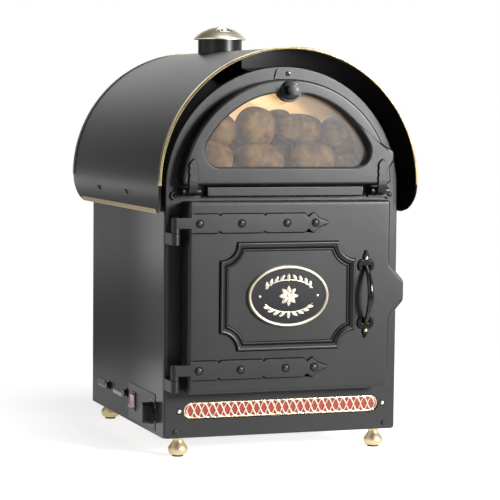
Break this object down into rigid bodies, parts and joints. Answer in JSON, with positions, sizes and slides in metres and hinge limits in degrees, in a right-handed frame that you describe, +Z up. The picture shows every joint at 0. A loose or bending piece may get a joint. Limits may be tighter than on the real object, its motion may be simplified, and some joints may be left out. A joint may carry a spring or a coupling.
{
  "type": "baked potato oven",
  "caption": "Counter-top baked potato oven with an arched glass display door over a square cast oven door, barrel canopy, brass trim, ball feet and short capped chimney.",
  "frame": {"origin": "on the counter, under the middle of the whole oven's bounding box", "axes": "+Z up, +X to the right seen from the front, the doors face -Y"},
  "size_m": [0.5044, 0.6504, 0.798],
  "materials": {
    "black_enamel": "gloss black enamel",
    "black_iron": "satin black enamelled iron",
    "brass": "polished brass",
    "steel_sheet": "plain bright sheet",
    "chrome_wire": "chromed wire",
    "element_sheath": "dull heat-darkened steel",
    "window_glass": "clear toughened glass",
    "lamp_glass": "warm lamp glass",
    "mineral_wool": "loose mineral wool",
    "seal_braid": "woven heat-proof braid",
    "black_rubber": "matt black rubber",
    "red_backing": "satin red paint",
    "oval_enamel": "black enamel, raised motif cream",
    "black_plastic": "gloss black moulding",
    "red_plastic": "gloss red moulding",
    "white_ceramic": "unglazed white steatite",
    "plate_aluminium": "satin anodised plate"
  },
  "bodies": {
    "cabinet": {"front_plate": "black_enamel", "casing_jacket": "black_enamel", "base_tray": "steel_sheet", "rear_panel": "black_enamel", "rear_panel_screws": "steel_sheet", "canopy": "black_enamel", "canopy_edge_trims": "brass", "canopy_side_strips": "brass", "canopy_spacers": "steel_sheet", "canopy_screws": "brass", "chimney_tube": "black_enamel", "vent_shutter": "brass", "feet": "brass", "foot_pads": "black_rubber", "grille": "brass", "grille_backing": "red_backing", "grille_screws": "black_iron", "plate_bolts": "black_iron", "centre_rail": "black_enamel", "display_hinge_brackets": "black_iron", "oven_hinge_brackets": "black_iron", "hinge_pins": "black_iron", "oven_liner": "steel_sheet", "oven_insulation": "mineral_wool", "display_liner": "steel_sheet", "display_floor": "steel_sheet", "rack_runners": "steel_sheet", "oven_rack_lower": "chrome_wire", "oven_rack_upper": "chrome_wire", "lower_element": "element_sheath", "upper_element": "element_sheath", "display_lamp": "lamp_glass", "lamp_holder": "white_ceramic", "control_plate": "plate_aluminium", "thermostat_body": "black_plastic", "switch_housing": "black_plastic", "button_collets": "black_plastic", "label_plates": "plate_aluminium", "terminal_block": "white_ceramic", "cable_gland": "black_plastic", "door_catches": "black_iron"},
    "display_door": {"display_door_frame": "black_enamel", "display_door_glass": "window_glass", "display_glass_retainer": "steel_sheet", "display_door_straps": "black_iron", "display_door_knob": "black_iron"},
    "oven_door": {"oven_door_casting": "black_enamel", "oven_door_lining": "steel_sheet", "oven_door_seal": "seal_braid", "oven_door_straps": "black_iron", "strap_rivets": "black_iron", "door_handle": "black_iron", "handle_screws": "brass", "oval_plate": "oval_enamel", "oval_trim": "brass"},
    "chimney_cap": {"vent_cap": "brass"},
    "thermostat_dial": {"thermostat_knob": "black_plastic"},
    "power_switch": {"power_rocker": "red_plastic"},
    "lamp_push": {"lamp_button": "black_plastic"},
    "reset_push": {"reset_button": "black_plastic"}
  },
  "joints": [
    {"name": "display_door_hinge", "type": "hinge", "parent": "cabinet", "child": "display_door", "pos_m": [0, -0.266, 0.4865], "axis": [1, 0, 0], "range_deg": [0, 90]},
    {"name": "oven_door_hinge", "type": "hinge", "parent": "cabinet", "child": "oven_door", "pos_m": [-0.22, -0.2895, 0.296], "axis": [0, 0, -1], "range_deg": [0, 150]},
    {"name": "chimney_cap_turn", "type": "hinge", "parent": "cabinet", "child": "chimney_cap", "pos_m": [0, 0.125, 0.775], "axis": [0, 0, 1], "range_deg": [-48, 12]},
    {"name": "thermostat_turn", "type": "hinge", "parent": "cabinet", "child": "thermostat_dial", "pos_m": [-0.227, -0.172, 0.073], "axis": [1, 0, 0], "range_deg": [0, 270]},
    {"name": "power_switch_rock", "type": "hinge", "parent": "cabinet", "child": "power_switch", "pos_m": [-0.228, -0.055, 0.078], "axis": [0, 1, 0], "range_deg": [-20, 0]},
    {"name": "lamp_push_slide", "type": "slide", "parent": "cabinet", "child": "lamp_push", "axis": [1, 0, 0], "range_m": [0, 0.003], "stiffness_N_per_m": 400},
    {"name": "reset_push_slide", "type": "slide", "parent": "cabinet", "child": "reset_push", "axis": [1, 0, 0], "range_m": [0, 0.003], "stiffness_N_per_m": 400}
  ]
}
